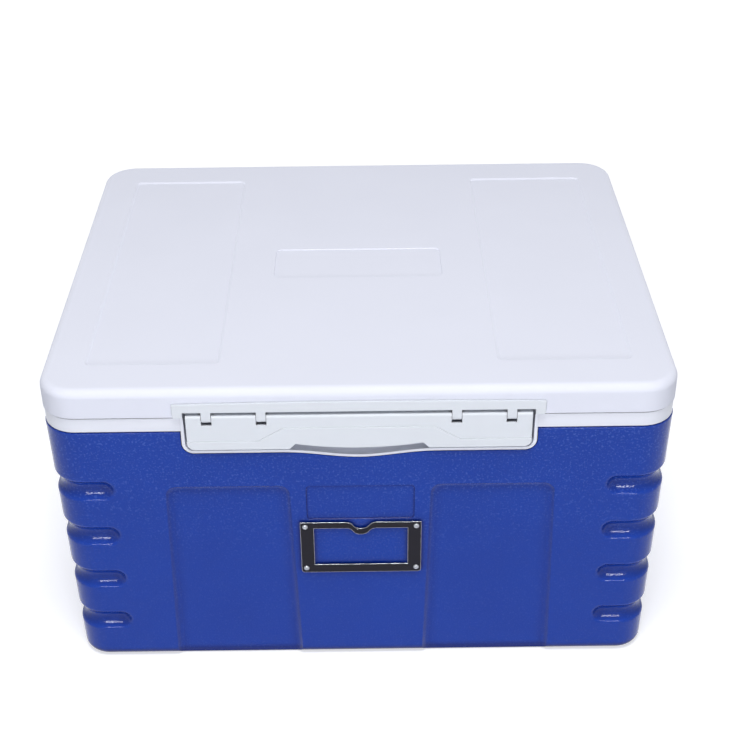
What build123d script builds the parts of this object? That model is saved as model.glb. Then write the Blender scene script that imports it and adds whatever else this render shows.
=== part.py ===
from build123d import *
from math import atan2, cos, degrees, radians, sin, tan
import os

# A large insulated vaccine carrier: a foam-filled body with a moulded liner, a hinged foam-filled lid, one
# long snap latch across the front, swing handles let into the end walls, a card frame and a drain.
# Millimetres. +Z up, the latch faces -Y, and the origin is on the floor under the middle of the body.

# ---- overall form ---------------------------------------------------------------------------------------
overall_width = 650.0        # X, across the lid and the top of the shell
overall_depth = 530.0        # Y, without the latch and the hinges
shell_top = 316.5            # upper edge of the coloured shell, above the floor
collar_height = 17.0         # white band of the liner above the shell
parting_gap = 1.2            # open line between the rim and the lid
lid_height = 32.3            # lid above the parting line
corner_radius = 37.0         # plan radius of lid, collar and shell
draft = 1.2                  # degrees, walls of the body and of the well
wall = 38.0                  # insulated wall at the rim
floor_wall = 38.0            # insulated floor
seat_gap = 0.3               # between pieces that move past each other
cutter_margin = 1.0          # how far a cutting shape starts outside the face it cuts

# ---- shell ----------------------------------------------------------------------------------------------
shell_skin = 3.0
base_edge_radius = 11.0
shell_lip_radius = 1.5       # upper edge of the shell
groove_count = 4
groove_pitch = 61.5
first_groove = 241.0         # height of the top groove's middle
groove_width = 24.0          # across the mouth, before the lips are rounded
groove_depth = 6.5
groove_reach = 68.0          # from the outside of the corner to the rounded end
groove_lip = 4.0             # rounding of the mouth
panel_top = 245.5            # recessed panels on the front, which widen downwards and run out at the base
panel_outer_top = 203.5      # from the middle line
panel_outer_base = 210.0
panel_inner_top = 74.0
panel_inner_base = 67.0
panel_depth_top = 3.4
panel_depth_base = 2.2
panel_corner = 12.0
panel_slope = 45.0           # degrees, sides of the recess
panel_cove = 7.0             # rounding between the sides and the recess's floor
plaque_width = 114.0         # bare plaque above the card frame
plaque_top = 244.5
plaque_height = 45.0
plaque_depth = 1.0
plaque_corner = 4.0
base_recess_depth = 2.5      # four shallow recesses between the cross and the rim of the base
base_cross = 44.0            # width of the flat cross that stands on the floor
base_border = 62.0
base_recess_corner = 20.0

# ---- liner ----------------------------------------------------------------------------------------------
liner_skin = 3.0
collar_inset = 1.0           # collar behind the shell's face
collar_seam = 0.8            # open line between the shell's edge and the white mouldings above it
collar_lap = 8.0             # skirt of the collar behind the shell's upper edge
lap_thickness = 2.5
well_radius = 28.0           # plan radius of the well
well_base_radius = 10.0
well_lip_radius = 2.5

# ---- lid ------------------------------------------------------------------------------------------------
lid_skin = 3.0
lid_edge_radius = 9.0
lid_panel_inner = 142.5      # recessed rectangles on the lid, from the middle line
lid_panel_outer = 282.0
lid_panel_depth_y = 431.0
lid_panel_recess = 1.6
lid_panel_corner = 7.0
lid_panel_slope = 60.0       # degrees, sides of the recess
lid_plaque_width = 191.0
lid_plaque_height = 67.0
lid_plaque_y = -4.0
lid_plaque_recess = 1.0
plug_depth = 12.0            # how far the lid's plug enters the well
plug_gap = 3.5
gasket_inset = 24.0          # gasket's outer edge from the lid's side
gasket_width = 6.0
gasket_channel = 1.5

# ---- latch ----------------------------------------------------------------------------------------------
latch_proud = 2.5            # strip and flap in front of the lid's face
latch_axis_drop = 2.0        # hinge line below the lid's lower edge
flap_width = 350.6
flap_rise = 5.0              # flap above the hinge line
flap_drop = 36.2             # flap below the hinge line
flap_plate = 3.0
flap_corner = 8.0
flap_gap = 2.7               # flap to the bezel, each end
flap_floor_gap = 3.8         # flap to the bezel, below
barrel = 10.0                # square thickness of the flap's rolled upper edge
barrel_round = 3.0
plateau = 1.2                # raised lower field of the flap
plateau_drop = 26.4          # its upper edge below the hinge line, at the ends
plateau_rise = 16.0          # the same edge is this much higher in the middle
plateau_inner = 77.0
plateau_outer = 103.0
finger_half = 65.0           # finger cut-out, half width
finger_cut = 6.5             # its height at the ends
finger_bow = 5.5             # the edge bows back down by this much in the middle
lip_reach = 5.0              # snap lip behind the hinge line
lip_thickness = 2.5
lip_inner = 78.0
catch_height = 5.5
catch_half = 35.0            # half length of each catch
catch_middle = 125.0
tab_width = 9.8
tab_gap = 0.4                # flap slot to tab, each side
tab_slot_floor = 6.9         # slot below the hinge line
tab_inner = 98.8
tab_outer = 154.3
latch_pin_radius = 1.5
pin_running_gap = 0.05
latch_pin_end = 1.0          # pin behind the flap's end face
latch_pin_start = 86.0
strip_end = 10.0             # strip beyond the latch pocket, each side
strip_lift = 0.6             # strip above the lid's lower edge
strip_end_height = 16.0      # front of the strip, at its ends
strip_arch = 1.8
strip_window = 9.0           # strip's lower edge above the hinge line
strip_web = 2.5
strip_corner = 2.5
pocket_depth = 10.5          # latch pocket behind the hinge line
bezel_rim = 3.3              # rim beside the flap
bezel_floor_rim = 3.0
bezel_corner = 12.0
bezel_face = 0.5             # bezel behind the shell's upper face
bezel_dip = 6.8              # the bezel is this much lower in the middle
bezel_dip_half = 80.0
bezel_wall = 3.0             # back wall of the latch housing
strip_screw_x = (-126.0, -63.0, 0.0, 63.0, 126.0)

# ---- rear hinges ----------------------------------------------------------------------------------------
hinge_x = 190.0
hinge_width = 56.0
hinge_plate = 2.5
knuckle_radius = 5.0
hinge_offset = 5.5           # hinge line behind the lid's face
hinge_pin_radius = 2.0
middle_knuckle = 20.4
lid_leaf_height = 17.0
body_leaf_height = 30.0
hinge_pad_border = 4.0
leaf_web_start = 1.0         # web between a knuckle and its plate starts this far from the hinge line
leaf_screw_spacing = 20.0
body_leaf_screw_drop = 18.0  # screws below the knuckles
lid_leaf_screw_rise = 9.4    # screws above the knuckles

# ---- card frame -----------------------------------------------------------------------------------------
frame_width = 129.0
frame_height = 70.0
frame_top = 196.5            # above the floor
frame_sheet = 1.0
frame_stand_off = 1.4        # room for the card
frame_side = 14.3
frame_top_band = 8.0
frame_bottom_band = 11.0
frame_corner = 3.5
notch_half = 17.0
notch_depth = 7.0
frame_screw_x = 59.3
frame_screw_top = 5.5        # screw below the frame's upper edge
frame_screw_bottom = 6.5

# ---- handles --------------------------------------------------------------------------------------------
tray_drop = 16.0             # tray's flange below the shell's upper edge
tray_width = 155.0           # inside, along Y
tray_height = 85.0
tray_depth = 17.0
tray_corner = 10.0
tray_wall = 2.5
tray_flange = 18.0
flange_corner = 14.0
recess_gap = 5.0             # moulded recess round the tray
recess_back_gap = 1.0
pivot_up = 26.0              # pivot above the tray's middle
pivot_in = 8.0               # pivot behind the wall's face
pivot_boss = 8.0
bail_drop = 44.0             # bar below the pivot
bail_half = 70.0
bail_corner = 20.0
bail_section_wide = 10.0
bail_section_deep = 8.0
bail_edge_round = 2.5
bail_lead = 1.5              # bail in front of its pivot
bail_boss_length = 10.0
grip_length = 84.0
grip_radius = 9.5
grip_end_round = 2.5
handle_pin_radius = 2.5
handle_pin_length = 17.5
handle_pin_boss = 6.0
handle_pin_boss_length = 3.5
cup_screw_x = 87.5
cup_screw_y = 48.0

# ---- drain ----------------------------------------------------------------------------------------------
drain_y = 110.0
drain_z = 62.0
drain_bore = 7.5
drain_tube_radius = 9.5
drain_flange_radius = 16.0
drain_flange = 4.0
drain_pad_radius = 20.0
drain_pad_proud = 0.6
drain_nut_radius = 14.0
drain_nut_pad_radius = 16.0
drain_nut_pad_proud = 1.1
drain_nut_height = 5.0
drain_washer = 1.5
plug_stem_gap = 0.3
plug_stem_length = 14.0
plug_wall = 1.2              # moulded wall of the hollow stem at the seal groove
plug_end = 2.0               # closed end of the stem, behind the knob
plug_knob_radius = 14.0
plug_knob_height = 8.0
plug_lobes = 8
lobe_radius = 4.0            # hollows round the knob
lobe_offset = 2.0            # their middles outside the knob's edge
seal_width = 2.4
seal_groove_depth = 0.9
seal_place = 8.4             # middle of the seal behind the knob

# ---- screws ---------------------------------------------------------------------------------------------
small_screw = (1.4, 9.0, 3.0, 1.6)     # shank radius, shank length, head radius, head height
large_screw = (1.8, 12.0, 3.6, 2.0)

# ---- shared planes and lines ----------------------------------------------------------------------------
rim_top = shell_top + collar_height
lid_bottom = rim_top + parting_gap
lid_top = lid_bottom + lid_height
half_width = overall_width / 2
half_depth = overall_depth / 2
lean = radians(draft)
groove_radius = (groove_width ** 2 / 4 + groove_depth ** 2) / (2 * groove_depth)
latch_face = -half_depth - latch_proud
latch_y = latch_face + barrel / 2
latch_z = lid_bottom - latch_axis_drop
flap_half = flap_width / 2
flap_top = latch_z + flap_rise
flap_bottom = latch_z - flap_drop
pocket_half = flap_half + flap_gap
strip_half = pocket_half + strip_end
pocket_floor = flap_bottom - flap_floor_gap
pocket_back = latch_y + pocket_depth
bezel_half = pocket_half + bezel_rim
bezel_bottom = pocket_floor - bezel_floor_rim
bezel_front = -half_depth + bezel_face
bezel_back = pocket_back + bezel_wall
strip_bottom = latch_z + strip_window
hinge_y = half_depth + hinge_offset
hinge_z = (rim_top + lid_bottom) / 2
collar_face = half_depth - collar_inset
handle_height = shell_top - tray_drop - tray_flange - tray_height / 2    # middle of the tray


# ---- helpers --------------------------------------------------------------------------------------------
def save(shape, node):
    """Write one node to parts/NODE.step."""
    shape.label = node
    export_step(shape, f"parts/{node}.step")


def wall_inset(z):
    """How far the drafted wall has come in at height z."""
    return (shell_top - z) * tan(lean)


def drafted_block(width, depth, radius, top, bottom, base_radius=0.0):
    """Rounded block whose four walls lean in towards its base."""
    start = Plane((0, 0, top), x_dir=(1, 0, 0), z_dir=(0, 0, -1))
    block = extrude(start * RectangleRounded(width, depth, radius), amount=top - bottom, taper=draft)
    if base_radius > 0:
        block = fillet(block.faces().sort_by(Axis.Z)[0].edges(), base_radius)
    return block


def inset_block(inset, top, bottom, base_radius=0.0):
    """Drafted block that lies inset behind the body's outside."""
    return drafted_block(overall_width - 2 * inset, overall_depth - 2 * inset, corner_radius - inset,
                         top, bottom, base_radius)


def slab(inset, bottom, top):
    """Upright rounded block that lies inset behind the lid's outline."""
    outline = RectangleRounded(overall_width - 2 * inset, overall_depth - 2 * inset, corner_radius - inset)
    return extrude(Pos(0, 0, bottom) * outline, amount=top - bottom)


def span(x, y, z):
    """Box from three (low, high) pairs."""
    size = [high - low for low, high in (x, y, z)]
    middle = [(high + low) / 2 for low, high in (x, y, z)]
    return Pos(*middle) * Box(*size)


def rod(start, direction, length, radius):
    """Round bar from a start point along X, Y or Z."""
    return extrude(Plane(start, z_dir=direction) * Circle(radius), amount=length)


def four_ways(shape):
    """Copies of one corner's shape in all four corners."""
    right = [shape, mirror(shape, Plane.XZ)]
    return right + [mirror(piece, Plane.YZ) for piece in right]


def both_sides(shape):
    """A shape and its mirror image across the middle line."""
    return [shape, mirror(shape, Plane.YZ)]


def cut(shape, tools):
    for tool in tools:
        shape -= tool
    return shape


def join(shapes):
    whole = shapes[0]
    for piece in shapes[1:]:
        whole += piece
    return whole


def screw(size):
    """Pan-head screw whose head stands on local z = 0 and whose shank runs down."""
    shank, length, head, height = size
    crown = head * 0.6
    profile = Polyline((0, -length), (shank, -length + shank), (shank, 0), (head, 0), (head, height * 0.4),
                       (crown, height), (0, height), close=True)
    return revolve(Plane.XZ * make_face(profile), Axis.Z)


def upright(y):
    """Plane that faces the front at a given Y: x is X, y is Z."""
    return Plane((0, y, 0), x_dir=(1, 0, 0), z_dir=(0, -1, 0))


def front_wall(depth=0.0):
    """Plane of the drafted front wall: y runs up the wall from the shell's edge, z points outwards."""
    normal = Vector(0, -cos(lean), -sin(lean))
    return Plane(Vector(0, -half_depth, shell_top) - normal * depth, x_dir=(1, 0, 0), z_dir=normal)


def end_wall(depth=0.0):
    """Plane of the drafted right end wall: x is Y, y runs up the wall, z points outwards."""
    normal = Vector(cos(lean), 0, -sin(lean))
    return Plane(Vector(half_width, 0, shell_top) - normal * depth, x_dir=(0, 1, 0), z_dir=normal)


def up_wall(z):
    """Local y on a wall plane for a height above the floor."""
    return (z - shell_top) / cos(lean)


# ---- shell ----------------------------------------------------------------------------------------------
def groove_cutter(level, growth):
    """Round bar bent round the front right corner, with ball ends; growth thickens it."""
    inset = wall_inset(level)
    outside = groove_radius - groove_depth
    bend_radius = corner_radius - inset
    bend_x = half_width - inset - bend_radius
    bend_y = half_depth - inset - bend_radius
    front = -(half_depth - inset + outside)
    side = half_width - inset + outside
    ends = [(half_width - groove_reach + groove_width / 2, front, level),
            (side, -(half_depth - groove_reach + groove_width / 2), level)]
    run_in = Line(ends[0], (bend_x, front, level))
    bend = CenterArc((bend_x, -bend_y, level), bend_radius + outside, -90, 90)
    run_out = Line((side, -bend_y, level), ends[1])
    section = Plane(ends[0], x_dir=(0, 1, 0), z_dir=(1, 0, 0)) * Circle(groove_radius + growth)
    cutter = sweep(section, path=Wire([run_in.edge(), bend.edge(), run_out.edge()]))
    return cutter + [Pos(*end) * Sphere(groove_radius + growth) for end in ends]


def groove_levels():
    return [first_groove - groove_pitch * index for index in range(groove_count)]


def is_groove_mouth(edge):
    """True for the edges where a groove opens on the wall, not for the seams inside it."""
    near = min(abs(edge.center().Z - level) for level in groove_levels()) < groove_width * 0.7
    seam = edge.geom_type == GeomType.CIRCLE and abs(edge.radius - groove_radius) < 0.01
    return near and not seam


def panel_cutter(inset):
    """Right-hand recessed panel of the front wall: sloping sides, a cove and a tilted floor."""
    top = up_wall(panel_top) + inset
    base = up_wall(-base_edge_radius)
    corners = [(panel_inner_top - inset, top), (panel_outer_top + inset, top),
               (panel_outer_base + inset, base), (panel_inner_base - inset, base)]
    outline = make_face(Polyline(*corners, close=True))
    outline = fillet(outline.vertices().sort_by(Axis.Y)[2:], panel_corner + inset)
    sunk = extrude(front_wall(inset) * outline, amount=-2 * panel_depth_top, taper=panel_slope)
    rise = degrees(atan2(panel_depth_top - panel_depth_base, top - base))
    floor = front_wall(inset + panel_depth_top) * Pos(0, top) * Rot(rise, 0, 0)
    sunk -= extrude(floor * Rectangle(2 * overall_width, 2 * overall_width), amount=-2 * panel_depth_top)
    sunk = fillet(sunk.faces().sort_by(SortBy.AREA)[-2].edges(), panel_cove)
    return sunk + extrude(front_wall(inset) * outline, amount=cutter_margin)


def handle_recess(inset):
    """Moulded recess of the right end wall that takes the handle tray."""
    width = tray_width + 2 * (tray_wall + recess_gap + inset)
    height = tray_height + 2 * (tray_wall + recess_gap / 2 + inset)
    depth = tray_depth + tray_wall + recess_back_gap
    corner = tray_corner + recess_gap / 2 + inset
    outline = Pos(0, up_wall(handle_height)) * RectangleRounded(width, height, corner)
    return extrude(end_wall(inset - cutter_margin) * outline, amount=-depth - cutter_margin)


def base_recess(inset):
    """Shallow recess in one quarter of the base."""
    low = base_cross / 2 - inset
    size_x = half_width - base_border + inset - low
    size_y = half_depth - base_border + inset - low
    outline = RectangleRounded(size_x, size_y, base_recess_corner + inset)
    start = Pos(low + size_x / 2, -low - size_y / 2, inset - cutter_margin)
    return extrude(start * outline, amount=base_recess_depth + cutter_margin)


def shell_form(inset):
    """Solid form of the shell, inset behind its outside by the thickness of the skin or by nothing."""
    form = inset_block(inset, shell_top, inset, base_edge_radius - inset)
    for level in groove_levels():
        form = cut(form, four_ways(groove_cutter(level, inset)))
    if inset == 0:
        form = fillet([edge for edge in form.edges() if is_groove_mouth(edge)], groove_lip)
    form = cut(form, both_sides(panel_cutter(inset)) + both_sides(handle_recess(inset)))
    return cut(form, four_ways(base_recess(inset)))


def bezel_outline(half, bottom, corner, top):
    """Front view of the latch pocket or its bezel: round lower corners and a dip in the middle."""
    dip = bottom - bezel_dip
    lower = Spline((-bezel_dip_half, bottom), (0, dip), (bezel_dip_half, bottom),
                   tangents=[(1, 0), (1, 0), (1, 0)])
    right = FilletPolyline((bezel_dip_half, bottom), (half, bottom), (half, top), radius=corner)
    left = FilletPolyline((-half, top), (-half, bottom), (-bezel_dip_half, bottom), radius=corner)
    return make_face([*lower.edges(), *right.edges(), *left.edges(), Line((half, top), (-half, top))])


def bezel_block(front, growth=0.0):
    """Solid of the latch housing's outline, from a front plane to its back and up to the rim."""
    outline = bezel_outline(bezel_half + growth, bezel_bottom - growth, bezel_corner + growth, rim_top)
    return extrude(upright(bezel_back) * outline, amount=bezel_back - front)


def latch_pocket(top):
    """Room behind and round the flap."""
    outline = bezel_outline(pocket_half, pocket_floor, bezel_corner - bezel_rim, top)
    return extrude(upright(pocket_back) * outline, amount=pocket_back - latch_face)


def hinge_pads(front, back):
    """Flat pads below the collar that the rear hinges are screwed to."""
    half = hinge_width / 2 + hinge_pad_border
    low = hinge_z - knuckle_radius - body_leaf_height - hinge_pad_border
    return both_sides(span((hinge_x - half, hinge_x + half), (front, back), (low, shell_top)))


def leaf_screws(z, face):
    """Screw places of both leaves at one height, on a wall that faces +Y."""
    places = []
    for middle in (-hinge_x, hinge_x):
        for shift in (-leaf_screw_spacing, 0, leaf_screw_spacing):
            places.append(Plane((middle + shift, face, z), x_dir=(1, 0, 0), z_dir=(0, 1, 0)))
    return places


body_leaf_screw_z = hinge_z - knuckle_radius - body_leaf_screw_drop
lid_leaf_screw_z = hinge_z + knuckle_radius + lid_leaf_screw_rise


def frame_screw_places():
    """Planes on the front of the card frame where its four screws sit."""
    top = up_wall(frame_top)
    heights = (top - frame_screw_top, top - frame_height + frame_screw_bottom)
    on_frame = front_wall(-frame_stand_off - frame_sheet)
    return [on_frame * Pos(x, y) for x in (-frame_screw_x, frame_screw_x) for y in heights]


def cup_screw_places():
    """Places on the flange of the right-hand tray."""
    on_flange = end_wall(-tray_wall)
    middle = up_wall(handle_height)
    heights = (middle - cup_screw_y, middle + cup_screw_y)
    return [on_flange * Pos(x, y) for x in (-cup_screw_x, cup_screw_x) for y in heights]


drain_face = half_width - wall_inset(drain_z + drain_pad_radius) + drain_pad_proud
well_half = half_width - wall
drain_inner_face = well_half - (rim_top - drain_z) * tan(lean) - drain_nut_pad_proud


def drain_bar(start, end, radius):
    """Round bar on the drain's axis between two places along X."""
    return rod((start, drain_y, drain_z), (1, 0, 0), end - start, radius)


def make_screws():
    """All screws of the body and the lid, as groups of separate solids."""
    cup = [place * screw(large_screw) for place in cup_screw_places()]
    body_places = leaf_screws(body_leaf_screw_z, collar_face + hinge_plate)
    lid_places = leaf_screws(lid_leaf_screw_z, half_depth + hinge_plate)
    strip_wall = upright(pocket_back - strip_web)
    strip_screw_z = (strip_bottom + lid_bottom) / 2
    strip = [strip_wall * Pos(x, strip_screw_z) * screw(small_screw) for x in strip_screw_x]
    return {
        "label_frame_screws": [place * screw(small_screw) for place in frame_screw_places()],
        "handle_cup_screws_right": cup,
        "handle_cup_screws_left": [mirror(piece, Plane.YZ) for piece in cup],
        "hinge_body_screws": [place * screw(large_screw) for place in body_places],
        "hinge_lid_screws": [place * screw(large_screw) for place in lid_places],
        "latch_strip_screws": strip,
    }


def make_shell(screws):
    shell = shell_form(0)
    plaque_middle = up_wall(plaque_top) - plaque_height / 2
    plaque = Pos(0, plaque_middle) * RectangleRounded(plaque_width, plaque_height, plaque_corner)
    shell -= extrude(front_wall() * plaque, amount=-plaque_depth)
    shell = fillet(shell.faces().sort_by(Axis.Z)[-1].outer_wire().edges(), shell_lip_radius)
    shell -= shell_form(shell_skin)
    shell += drain_bar(drain_face - shell_skin, drain_face, drain_pad_radius)
    shell -= drain_bar(half_width - wall, half_width + 1, drain_tube_radius)
    shell -= bezel_block(-half_depth - cutter_margin, collar_seam)
    shell = cut(shell, hinge_pads(collar_face - liner_skin, half_depth + 1))
    for group in ("label_frame_screws", "handle_cup_screws_right", "handle_cup_screws_left"):
        shell = cut(shell, screws[group])
    return shell


# ---- liner and foam -------------------------------------------------------------------------------------
def well_block(inset, top, bottom, base_radius):
    """Drafted block inside the well's wall line."""
    return drafted_block(overall_width - 2 * (wall + inset), overall_depth - 2 * (wall + inset),
                         well_radius - inset, top, bottom, base_radius)


def make_liner(screws):
    """Well, rim and collar in one moulding, with a skirt that laps behind the shell."""
    low = shell_top + collar_seam
    collar = slab(collar_inset, low, rim_top) - slab(collar_inset + liner_skin, low, rim_top - liner_skin)
    lap = inset_block(shell_skin, shell_top, shell_top - collar_lap) + slab(shell_skin, shell_top, low)
    lap -= slab(shell_skin + lap_thickness, shell_top - collar_lap, low)
    tub = well_block(-liner_skin, rim_top, floor_wall - liner_skin, well_base_radius + liner_skin)
    liner = collar + lap + tub
    liner -= bezel_block(-half_depth - cutter_margin)
    liner = join([liner] + hinge_pads(collar_face - liner_skin, collar_face))
    liner += drain_bar(drain_inner_face, drain_inner_face + 2 * liner_skin, drain_nut_pad_radius)
    well = well_block(0, rim_top, floor_wall, well_base_radius)
    pad = drain_bar(drain_inner_face, well_half, drain_nut_pad_radius)
    liner -= well - pad
    liner -= drain_bar(drain_inner_face - 1, half_width, drain_tube_radius)
    return cut(liner, screws["hinge_body_screws"])


def make_housing():
    """Latch housing let into the collar and the shell: a shallow tray with two catch ribs."""
    return bezel_block(bezel_front) - latch_pocket(rim_top) + make_catches()


def make_catches():
    """Two ribs that the flap's lip snaps under."""
    low = flap_bottom + lip_thickness + 2 * seat_gap
    tip = latch_y + lip_reach + seat_gap
    root = pocket_back + bezel_wall / 2
    points = [(tip, low), (root, low), (root, low + 1.4 * catch_height), (tip, low + catch_height / 2)]
    profile = Plane.YZ * make_face(Polyline(*points, close=True))
    catch = Pos(catch_middle - catch_half, 0, 0) * extrude(profile, amount=2 * catch_half)
    return both_sides(catch)


def make_body_foam(liner, screws):
    foam = shell_form(shell_skin) + slab(collar_inset + liner_skin, shell_top, rim_top - liner_skin)
    foam -= well_block(-liner_skin, rim_top, floor_wall - liner_skin, well_base_radius + liner_skin)
    foam -= bezel_block(-half_depth - cutter_margin)
    foam = cut(foam, [liner, drain_bar(drain_inner_face - 1, half_width, drain_tube_radius)])
    foam -= drain_bar(drain_face - shell_skin, half_width, drain_pad_radius)
    foam = cut(foam, hinge_pads(collar_face - liner_skin, half_depth + 1))
    return cut(foam, [piece for group in screws.values() for piece in group])


# ---- lid ------------------------------------------------------------------------------------------------
def strip_pocket(growth):
    """Room in the lid's front edge for the latch strip's channel."""
    half = pocket_half + strip_web + growth
    heights = (lid_bottom - cutter_margin, strip_bottom + strip_web + growth)
    return span((-half, half), (-half_depth - cutter_margin, pocket_back + growth), heights)


def lid_form(inset):
    """Solid form of the lid, inset behind its outside."""
    form = slab(inset, lid_bottom, lid_top - inset)
    form = fillet(form.faces().sort_by(Axis.Z)[-1].edges(), lid_edge_radius - inset)
    from_top = Plane((0, 0, lid_top - inset), x_dir=(1, 0, 0), z_dir=(0, 0, -1))
    middle = (lid_panel_inner + lid_panel_outer) / 2
    outline = RectangleRounded(lid_panel_outer - lid_panel_inner, lid_panel_depth_y, lid_panel_corner)
    panels = [extrude(from_top * Pos(x, 0) * outline, amount=lid_panel_recess, taper=lid_panel_slope)
              for x in (-middle, middle)]
    form = cut(form, panels)
    if inset == 0:
        plaque = RectangleRounded(lid_plaque_width, lid_plaque_height, lid_panel_corner)
        middle = from_top * Pos(0, -lid_plaque_y)
        form -= extrude(middle * plaque, amount=lid_plaque_recess, taper=lid_panel_slope / 2)
    return form - strip_pocket(inset)


def plug_block(inset, top):
    """The lid's plug, which follows the well's wall."""
    start = wall + plug_gap + inset
    width = overall_width - 2 * start
    depth = overall_depth - 2 * start
    radius = well_radius - plug_gap - inset
    return drafted_block(width, depth, radius, top, lid_bottom - plug_depth + inset)


def gasket_ring(bottom, top):
    """Upright ring under the lid that the gasket fills."""
    return slab(gasket_inset, bottom, top) - slab(gasket_inset + gasket_width, bottom, top)


def make_lid(screws):
    inside = lid_form(lid_skin)
    shell = cut(lid_form(0) - inside, screws["hinge_lid_screws"] + screws["latch_strip_screws"])
    plate = slab(lid_skin, lid_bottom, lid_bottom + lid_skin) - strip_pocket(lid_skin)
    hollow = plug_block(lid_skin, lid_bottom + lid_skin)
    channel_top = lid_bottom + gasket_channel
    channel = gasket_ring(lid_bottom, channel_top)
    liner = cut(plate + plug_block(0, lid_bottom), [hollow, channel] + screws["latch_strip_screws"])
    foam = cut(inside + plug_block(0, lid_bottom) - liner - channel,
               screws["hinge_lid_screws"] + screws["latch_strip_screws"])
    return shell, liner, foam, gasket_ring(rim_top + seat_gap, channel_top)


# ---- latch ----------------------------------------------------------------------------------------------
def tab_places():
    return [-tab_outer, -tab_inner, tab_inner, tab_outer]


def latch_pins(radius):
    """Two pins, each through the two tabs of its side."""
    length = flap_half - latch_pin_end - latch_pin_start
    return both_sides(rod((latch_pin_start, latch_y, latch_z), (1, 0, 0), length, radius))


def make_strip(screws):
    """Fixed strip: arched front, channel for the flap's upper edge, and four knuckle tabs."""
    low = lid_bottom + strip_lift
    top = low + strip_end_height
    rise = ThreePointArc((strip_half, top), (0, top + strip_arch), (-strip_half, top))
    drop = FilletPolyline((-strip_half, top), (-strip_half, low), (-pocket_half, low), radius=strip_corner)
    window = Polyline((-pocket_half, low), (-pocket_half, strip_bottom), (pocket_half, strip_bottom),
                      (pocket_half, low))
    close = FilletPolyline((pocket_half, low), (strip_half, low), (strip_half, top), radius=strip_corner)
    front = make_face([*rise.edges(), *drop.edges(), *window.edges(), *close.edges()])
    strip = extrude(upright(-half_depth) * front, amount=latch_proud)
    outer = strip_pocket(0) & span((-half_width, half_width), (-half_depth, half_depth), (low, lid_top))
    room = span((-pocket_half, pocket_half), (latch_face, pocket_back - strip_web), (0, strip_bottom))
    strip += outer - room
    for x in tab_places():
        left, right = x - tab_width / 2, x + tab_width / 2
        strip += span((left, right), (latch_face, latch_y + barrel / 2), (latch_z, strip_bottom + 1))
        strip += rod((left, latch_y, latch_z), (1, 0, 0), tab_width, barrel / 2)
    return cut(strip, latch_pins(latch_pin_radius) + screws["latch_strip_screws"])


def flap_outline():
    """Front view of the flap: round lower corners and the bowed finger edge."""
    foot = finger_half + finger_cut
    edge = flap_bottom + finger_cut
    right = [(foot, flap_bottom), (flap_half, flap_bottom), (flap_half, flap_top)]
    left = [(-x, z) for x, z in reversed(right)]
    runs = [
        FilletPolyline(*right, radius=flap_corner),
        Line((flap_half, flap_top), (-flap_half, flap_top)),
        FilletPolyline(*left, radius=flap_corner),
        Line((-foot, flap_bottom), (-finger_half, edge)),
        ThreePointArc((-finger_half, edge), (0, edge - finger_bow), (finger_half, edge)),
        Line((finger_half, edge), (foot, flap_bottom)),
    ]
    return make_face([edge for run in runs for edge in run.edges()])


def plateau_outline():
    """Lower field of the flap, which stands slightly proud and is taller in the middle."""
    side = latch_z - plateau_drop
    top = side + plateau_rise
    right = [(plateau_inner, top), (plateau_outer, side), (flap_half, side), (flap_half, flap_bottom - 1)]
    left = [(-x, z) for x, z in reversed(right)]
    return make_face(Polyline(*right, *left, close=True))


def make_flap():
    outline = flap_outline()
    plate = extrude(upright(latch_face + flap_plate) * outline, amount=flap_plate)
    raised = extrude(upright(latch_face) * (plateau_outline() & outline), amount=plateau)
    bar = Plane((-flap_half, latch_y, latch_z), x_dir=(0, 1, 0), z_dir=(1, 0, 0))
    rolled = extrude(bar * RectangleRounded(barrel, barrel, barrel_round), amount=flap_width)
    plate -= span((-flap_half, flap_half), (latch_face - 1, latch_y), (latch_z, flap_top + 1))
    flap = plate + raised + rolled
    lip = span((lip_inner, flap_half - flap_corner), (latch_face + 1, latch_y + lip_reach),
               (flap_bottom, flap_bottom + lip_thickness))
    ribs = [span((x - 1, x + 1), (latch_face + 1, latch_y + lip_reach - 1), (flap_bottom + 1, latch_z - 1))
            for x in (lip_inner + 1, flap_half - flap_corner - 1)]
    flap = join([flap] + both_sides(join([lip] + ribs)))
    half = tab_width / 2 + tab_gap
    through = (latch_face - 2, latch_y + barrel)
    heights = (latch_z - tab_slot_floor, flap_top + 1)
    slots = [span((x - half, x + half), through, heights) for x in tab_places()]
    radius = latch_pin_radius + pin_running_gap
    bore = rod((latch_pin_start - 1, latch_y, latch_z), (1, 0, 0), flap_half, radius)
    return cut(flap, slots + both_sides(bore))


# ---- rear hinges ----------------------------------------------------------------------------------------
def leaf(side, screws):
    """Right-hand hinge leaf: side is 1 for the lid's leaf and -1 for the body's leaf."""
    face = half_depth if side > 0 else collar_face
    height = lid_leaf_height if side > 0 else body_leaf_height
    left = hinge_x - hinge_width / 2
    inner = (left + (hinge_width - middle_knuckle) / 2, left + (hinge_width + middle_knuckle) / 2)
    near = hinge_z + side * (knuckle_radius + seat_gap)
    far = hinge_z + side * (knuckle_radius + height)
    plate = span((left, left + hinge_width), (face, face + hinge_plate), sorted((near, far)))
    if side > 0:
        stretches = [(inner[0] + seat_gap, inner[1] - seat_gap)]
    else:
        stretches = [(left, inner[0]), (inner[1], left + hinge_width)]
    for low, high in stretches:
        plate += rod((low, hinge_y, hinge_z), (1, 0, 0), high - low, knuckle_radius)
        plate += span((low, high), (face, hinge_y), sorted((hinge_z + side * leaf_web_start, near)))
    bore = hinge_pin_radius + (pin_running_gap if side > 0 else 0)
    plate -= rod((left - 1, hinge_y, hinge_z), (1, 0, 0), hinge_width + 2, bore)
    return cut(plate, screws)


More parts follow.
